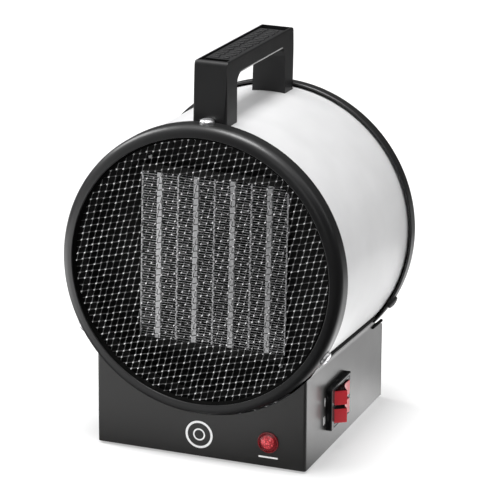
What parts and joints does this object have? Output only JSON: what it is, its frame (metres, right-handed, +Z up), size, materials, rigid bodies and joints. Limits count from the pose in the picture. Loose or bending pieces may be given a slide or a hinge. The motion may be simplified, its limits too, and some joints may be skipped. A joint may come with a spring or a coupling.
{
  "type": "ceramic space heater",
  "caption": "Portable fan heater: round sheet-steel drum with mesh guards, a finned heating block and a fan, with a carrying handle, leaning back on a box base with rocker switches and a lamp.",
  "frame": {"origin": "on the surface the feet stand on, below the middle of the drum", "axes": "+Z up, -Y towards the front where the warm air comes out, +X towards the side with the rocker switches"},
  "size_m": [0.188, 0.157, 0.2561],
  "materials": {
    "ring_black": "satin black paint",
    "drum_silver": "fine silver-white powder coat",
    "base_grey": "satin anthracite powder coat",
    "plate_black": "matt black paint",
    "guard_steel": "expanded steel mesh",
    "handle_plastic": "fine grained",
    "inlay_plastic": "ribbed",
    "screw_steel": "zinc plated",
    "screw_black": "black oxide",
    "zinc_sheet": "zinc-coated sheet",
    "foot_rubber": "matt",
    "seal_rubber": "matt",
    "switch_plastic": "semi gloss",
    "red_plastic": "translucent red",
    "inlet_plastic": "satin",
    "block_plastic": "heat resistant",
    "holder_ceramic": "dark insulating",
    "cutout_ceramic": "unglazed",
    "fin_aluminium": "bare",
    "bar_aluminium": "bare",
    "fan_aluminium": "bare",
    "shaft_steel": "ground",
    "lamination_steel": "stamped",
    "copper_wire": "varnished copper",
    "terminal_brass": "bare",
    "bush_bronze": "sintered"
  },
  "bodies": {
    "housing": {"front_ring": "ring_black", "front_guard": "guard_steel", "front_ring_screws": "screw_steel", "drum": "drum_silver", "rear_ring": "ring_black", "rear_guard": "guard_steel", "rear_ring_screws": "screw_black", "handle": "handle_plastic", "handle_inlay": "inlay_plastic", "handle_screws": "screw_steel", "base_housing": "base_grey", "base_rear_panel": "base_grey", "base_bottom_plate": "zinc_sheet", "base_rear_screws": "screw_black", "base_bottom_screws": "screw_steel", "feet": "foot_rubber", "drum_seals": "seal_rubber", "cradle_screws": "screw_steel", "switch_body": "switch_plastic", "switch_terminals": "terminal_brass", "lamp_lens": "red_plastic", "lamp_body": "switch_plastic", "lamp_nut": "screw_steel", "cable_gland": "inlet_plastic", "gland_nut": "inlet_plastic", "terminal_block": "block_plastic", "drum_grommet": "seal_rubber", "heater_plate": "plate_black", "block_holders": "holder_ceramic", "holder_screws": "screw_steel", "heater_fins": "fin_aluminium", "heating_bars": "bar_aluminium", "contact_plates": "fin_aluminium", "thermal_cutout": "cutout_ceramic", "motor_stack": "lamination_steel", "motor_coil": "copper_wire", "shading_loops": "copper_wire", "bearing_brackets": "zinc_sheet", "bearings": "bush_bronze", "motor_bolts": "screw_steel", "motor_strap": "zinc_sheet", "strap_screws": "screw_steel"},
    "fan": {"fan": "fan_aluminium", "fan_clip": "shaft_steel", "motor_shaft": "shaft_steel", "motor_rotor": "lamination_steel"},
    "upper_rocker": {"upper_rocker": "red_plastic"},
    "lower_rocker": {"lower_rocker": "red_plastic"}
  },
  "joints": [
    {"name": "fan_spin", "type": "hinge", "parent": "housing", "child": "fan", "pos_m": [0, 0, 0.1224], "axis": [0, 0.999, -0.0454], "continuous": true},
    {"name": "upper_rocker_pivot", "type": "hinge", "parent": "housing", "child": "upper_rocker", "pos_m": [0.0714, -0.0157, 0.0361], "axis": [0, 0, 1], "range_deg": [-30, 0]},
    {"name": "lower_rocker_pivot", "type": "hinge", "parent": "housing", "child": "lower_rocker", "pos_m": [0.0714, -0.0157, 0.0239], "axis": [0, 0, 1], "range_deg": [-30, 0]}
  ]
}
